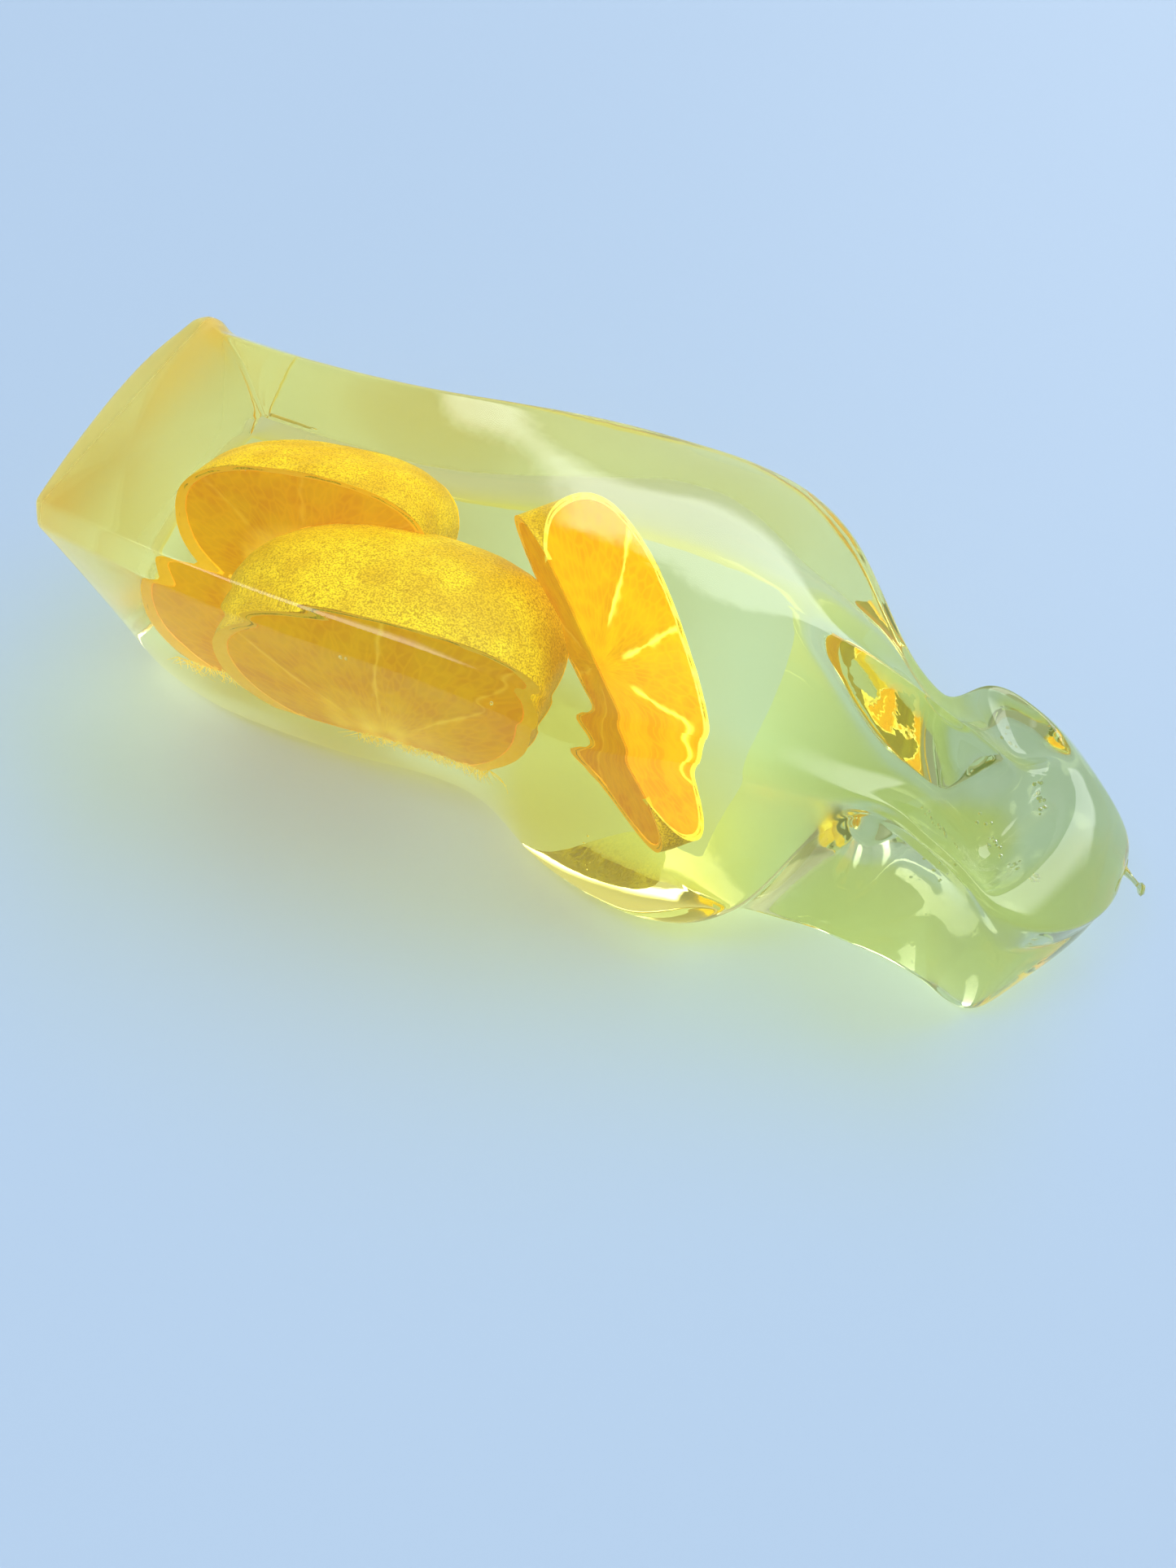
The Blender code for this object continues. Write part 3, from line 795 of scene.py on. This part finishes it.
def clear_gel():
    """Clear gel, yellower at the square end and in the front lobe, and greener at the wrung end.

    Its faint glow is painted light, standing for the haze that strong light raises in it. The tint is painted
    light and shade as well: yellow towards the square end for warm light, a painted reflection of the wedges in
    the lobe, and painted shade at the wrung end. The square end is a little frosted.
    Light that it lets through reaches what is under it, tinted, so that its shadow is clear and yellow.
    """
    f = Finish("clear_gel")
    x, y = (f.node("ShaderNodeSeparateXYZ", {}, {"Vector": f.place()}, axis) for axis in "XY")
    greener = (x - 1.5 * y).fade(-0.06, 0.03)
    lobe = x.fade(-0.012, 0.0) * (0 - x).fade(-0.035, -0.022) * (0 - y).fade(0.012, 0.022)
    wrung = x.fade(0.012, 0.04)
    # The tint is painted light and shade: the lobe's yellow is a painted reflection of the wedges, the wrung
    # end's dark colour is painted shade, and the yellow at the square end is painted warm light.
    tint = lobe.blend(wrung.blend(greener.blend(GEL_YELLOW, GEL_GREEN), GEL_WRUNG_SHADE), GEL_LOBE_REFLECTION)
    skin = f.noise(f.place(), 260.0)
    frosted = (x * -1).fade(0.067, 0.073)
    off_fold = f.node("ShaderNodeVectorMath", {"operation": "DISTANCE"}, {0: f.place(), 1: FOLD_FOOT}, "Value")
    stuck = (0 - off_fold).fade(-0.008, -0.004)
    # The glow is painted light, for the haze in the gel.
    f.surface(base_color=tint, roughness=frosted * 0.35 + stuck * 0.25 + 0.012, transmission_weight=1.0, ior=1.41,
              emission_color=greener.blend((0.95, 0.85, 0.20), (0.72, 0.95, 0.30)), emission_strength=0.04,
              normal=f.bump(skin, 0.05, 0.0004))
    absorb = f.tree.nodes.new("ShaderNodeVolumeAbsorption")
    f.fill(absorb, {"Color": GEL_DEPTH, "Density": GEL_DENSITY})
    f.fill(f.tree.nodes["Material Output"], {"Volume": Value(f, absorb.outputs["Volume"])})
    f.shadow(GEL_SHADOW)
    return f.material


def citrus_peel():
    """Bright yellow peel: a sandy fine grain, soft mottling and shallow pores."""
    f = Finish("citrus_peel")
    place = f.place()
    sand = f.noise(place, 4000.0, 3.0).fade(0.36, 0.62)
    mottle = f.noise(place, 150.0, 3.0).fade(0.35, 0.65)
    pores = f.cells(place, 1100.0).fade(0.05, 0.5)
    yellow = mottle.blend((0.56, 0.38, 0.01), (0.70, 0.54, 0.02))
    sandy = (0.8 * sand + 0.2 * pores).blend((0.32, 0.19, 0.003), yellow)
    # The glow is painted light: the peel shines with its own colour, though it is no lamp.
    f.surface(base_color=sandy, roughness=0.4, specular_ior_level=0.2, emission_color=sandy,
              emission_strength=0.18, normal=f.bump(0.4 * sand + pores, 0.35, 0.0002))
    f.shadow(FRUIT_SHADOW)
    return f.material


def citrus_flesh():
    """Deep amber flesh: juice sacs that point to the spine, hardly parted, and pale membranes in the grooves."""
    f = Finish("citrus_flesh")
    grain = f.stretched(f.mark("grain", "Vector"), (0.9, 0.25, 1.0))
    sacs = f.cells(grain, 1.3)
    parting = f.cells(grain, 1.3, "DISTANCE_TO_EDGE").fade(0.0, 0.2)
    cloud = f.noise(f.place(), 240.0).fade(0.3, 0.7)
    amber = cloud.blend((0.52, 0.28, 0.0), (0.49, 0.22, 0.0))
    flesh = (0.6 + 0.4 * parting).blend((0.58, 0.32, 0.0), amber)
    colour = f.mark("pale").blend(flesh, (0.90, 0.76, 0.12))
    # The strong glow is painted light, standing for the light that comes through the flesh from behind.
    f.surface(base_color=colour, roughness=0.35, emission_color=colour, emission_strength=0.64,
              specular_ior_level=0.0, normal=f.bump(sacs, 0.2, 0.0003))
    f.shadow(FRUIT_SHADOW)
    return f.material


def citrus_pith():
    """Soft pith: nearly as yellow as the peel, and paler where its mark says so."""
    f = Finish("citrus_pith")
    cloud = f.noise(f.place(), 900.0, 4.0).fade(0.3, 0.7)
    colour = f.mark("pale").blend((0.90, 0.52, 0.005), cloud.blend((0.76, 0.60, 0.05), (0.82, 0.72, 0.16)))
    # The glow is painted light, on the pith and on the fibres that share its finish.
    f.surface(base_color=colour, roughness=0.5, emission_color=colour, emission_strength=0.18,
              normal=f.bump(cloud, 0.3, 0.0002))
    f.shadow(FRUIT_SHADOW)
    return f.material


def pale_floor():
    """A plain pale table top."""
    f = Finish("pale_floor")
    cloud = f.noise(f.place(), 3.0)
    f.surface(base_color=cloud.fade(0.2, 0.8).blend(*FLOOR_BLUES), roughness=0.6)
    return f.material


def bubbles(start):
    """Small round bubbles of air, as hollows in the gel: their faces look inwards, and count from start."""
    rng = np.random.default_rng(9)
    points, faces = [], []
    rows, columns = BUBBLE_GRID
    for first, last, count, spread, biggest in BUBBLE_TRAILS:
        for _ in range(count):
            middle = np.array(first) + (np.array(last) - first) * rng.uniform() + rng.uniform(-1, 1, 3) * spread
            radius = biggest * rng.uniform(0.35, 1)
            foot = start + len(points)
            for tilt in np.linspace(BUBBLE_POLE, np.pi - BUBBLE_POLE, rows):
                for turn in np.linspace(0, 2 * np.pi, columns, endpoint=False):
                    way = (np.sin(tilt) * np.cos(turn), np.sin(tilt) * np.sin(turn), np.cos(tilt))
                    points.append(middle + radius * np.array(way))
            for i in range(rows - 1):
                for j in range(columns):
                    a, b = foot + i * columns + j, foot + i * columns + (j + 1) % columns
                    faces.append((a, b, b + columns, a + columns))
            faces.append(tuple(range(foot, foot + columns))[::-1])
            faces.append(tuple(range(foot + (rows - 1) * columns, foot + rows * columns)))
    return points, faces


def build_bar():
    """The gel, with its bubbles in the same mesh, in place of the solid."""
    points, faces = gel_surface(FINENESS)
    air, air_faces = bubbles(len(points))
    points, faces = np.vstack([points, air]), faces + air_faces
    bar = make_piece("gel", (points, faces, {}), clear_gel())
    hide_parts("gel_bar")


def build_wedges():
    """The three wedges, each in pieces of peel, pith and flesh, and two of them with torn fibres."""
    peel, pith, flesh = citrus_peel(), citrus_pith(), citrus_flesh()
    for number, (name, sizes) in enumerate(WEDGES.items()):
        wedge = Wedge(**sizes)
        seed = 100 * number + 5
        make_piece(f"{name}_wedge_peel", peel_shell(wedge, seed), peel)
        make_piece(f"{name}_wedge_pith", pith_rings(wedge, seed), pith)
        make_piece(f"{name}_wedge_flesh", cut_flesh(wedge, seed), flesh)
        if name in FRINGES:
            make_piece(f"{name}_wedge_fibres", fringe(wedge, seed, **FRINGES[name]), pith)


def build_floor():
    """A flat square under the bar: stage, and no part of the object."""
    half = FLOOR_SIDE / 2
    mesh = bpy.data.meshes.new("floor")
    corners = [(-half, -half), (half, -half), (half, half), (-half, half)]
    mesh.from_pydata([(x, y, FLOOR_LEVEL) for x, y in corners], [], [(0, 1, 2, 3)])
    mesh.materials.append(pale_floor())
    floor = bpy.data.objects.new("floor", mesh)
    bpy.context.scene.collection.objects.link(floor)


def in_part_frame(point):
    """A place given in millimetres in the drawing's frame, in metres in the part's."""
    return Vector((np.array(point, float) - FRAME_MIDDLE) * MM)


def aim(thing, place, target):
    """Puts a thing at a place, with its -Z towards the target."""
    thing.location = place
    thing.rotation_euler = (target - place).to_track_quat("-Z", "Y").to_euler()


def build_light():
    """Soft light from all sides, and a large window high behind the bar whose edges fade.

    across and up are where the window is, as slopes to the right and upwards against the way back.
    """
    world = bpy.data.worlds.new("room")
    world.use_nodes = True
    room = Nodes(world.node_tree)
    way = room.node("ShaderNodeTexCoord", {}, {}, "Generated")
    x, y, z = (room.node("ShaderNodeSeparateXYZ", {}, {"Vector": way}, axis) for axis in "XYZ")
    depth = y.math("MAXIMUM", 0.02)
    across, up = x / depth, z / depth
    # The pane ends in a slanted top edge, a level foot and upright sides, all soft, and lies behind the bar.
    pane = (1.55 + 1.1 * across - up).fade(0.0, 0.15) * up.fade(0.48, 0.62)
    pane = pane * across.fade(-0.5, -0.4) * (0 - across).fade(-1.6, -1.1) * y.fade(0.02, 0.1)
    overhead = room.node("ShaderNodeVectorMath", {"operation": "DOT_PRODUCT"}, {0: way, 1: DIM_CEILING}, "Value")
    glint = room.node("ShaderNodeVectorMath", {"operation": "DOT_PRODUCT"}, {0: way, 1: GLINT_WAY}, "Value")
    light = pane * WINDOW_LIGHT + (0.5 + 0.45 * y.fade(-0.5, 0.4) - 0.6 * overhead.fade(0.8, 0.95)) * ROOM_LIGHT
    light = light + glint.fade(0.975, 0.995) * GLINT_LIGHT
    background = world.node_tree.nodes["Background"]
    room.fill(background, {"Color": ROOM_COLOUR, "Strength": light})
    bpy.context.scene.world = world


def build_camera():
    """The camera that stands where the photo was taken from."""
    camera = bpy.data.cameras.new("camera")
    camera.lens = CAMERA_LENS
    camera.clip_start = 0.01
    holder = bpy.data.objects.new("camera", camera)
    bpy.context.scene.collection.objects.link(holder)
    aim(holder, in_part_frame(CAMERA_PLACE), in_part_frame(CAMERA_AIM))
    bpy.context.scene.camera = holder
    bpy.context.scene.view_settings.view_transform = "Standard"


build_bar()
build_wedges()
build_floor()
build_light()
build_camera()
